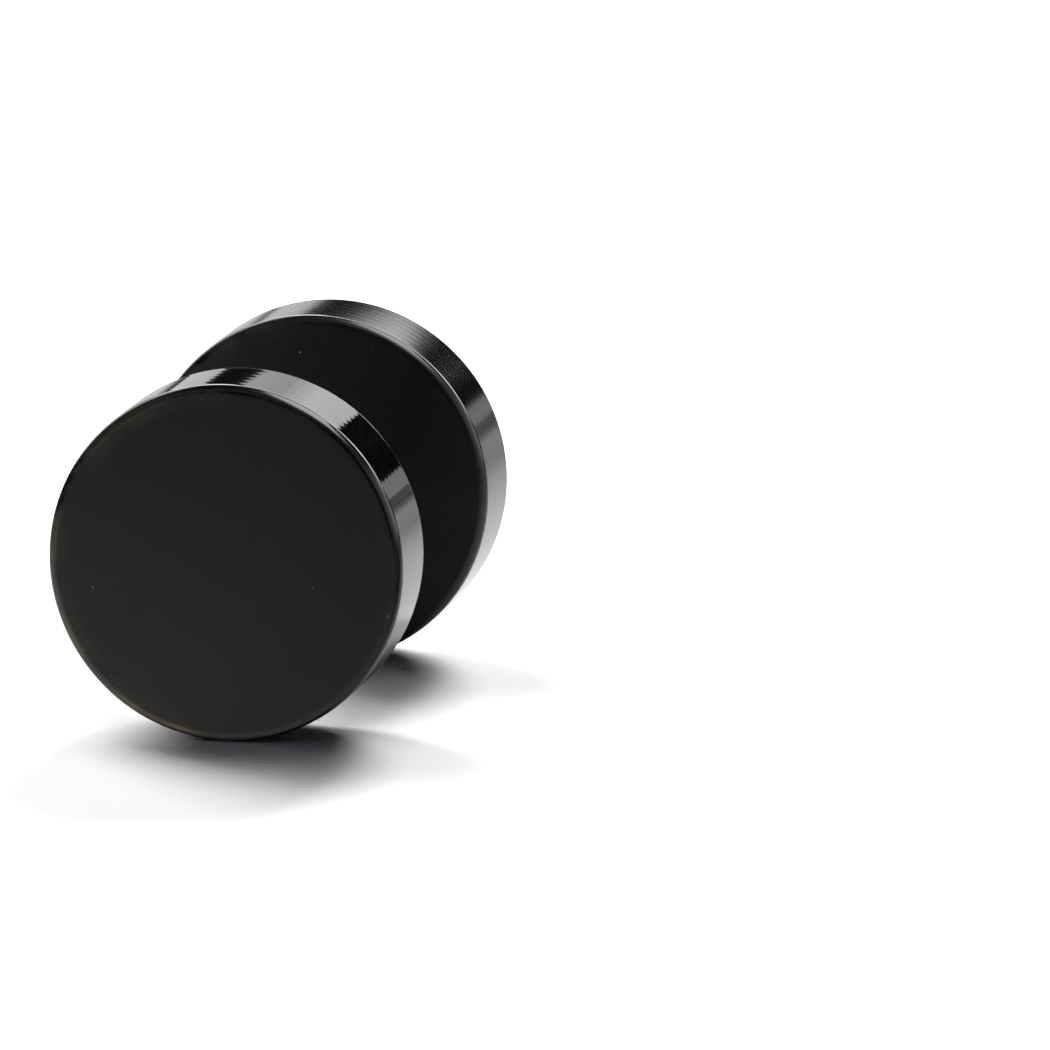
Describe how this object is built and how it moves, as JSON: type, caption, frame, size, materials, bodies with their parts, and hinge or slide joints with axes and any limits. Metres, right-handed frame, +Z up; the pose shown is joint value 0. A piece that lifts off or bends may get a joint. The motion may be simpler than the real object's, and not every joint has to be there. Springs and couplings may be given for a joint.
{
  "type": "dumbbell earring",
  "caption": "Black dumbbell ear stud: a thick round disc at each end of a straight post, the back disc coming off the post's free end.",
  "frame": {"origin": "on the surface that both rims rest on, under the middle of the post", "axes": "+Y along the post from the front disc to the back disc, so the front disc's outer face looks along -Y; +Z up; +X to the right of someone who looks at the front face"},
  "size_m": [0.008, 0.0112, 0.008],
  "materials": {
    "disc_coating": "thin black coating on stainless steel: satin flat faces, polished rims with fine turning marks, softly rounded edges",
    "post_coating": "thin black coating on stainless steel, smooth and half gloss"
  },
  "bodies": {
    "front": {"front_disc": "disc_coating", "post": "post_coating"},
    "back": {"back_disc": "disc_coating"}
  },
  "joints": [
    {"name": "back_disc_slide", "type": "slide", "parent": "front", "child": "back", "axis": [0, 1, 0], "range_m": [0, 0.01]}
  ]
}
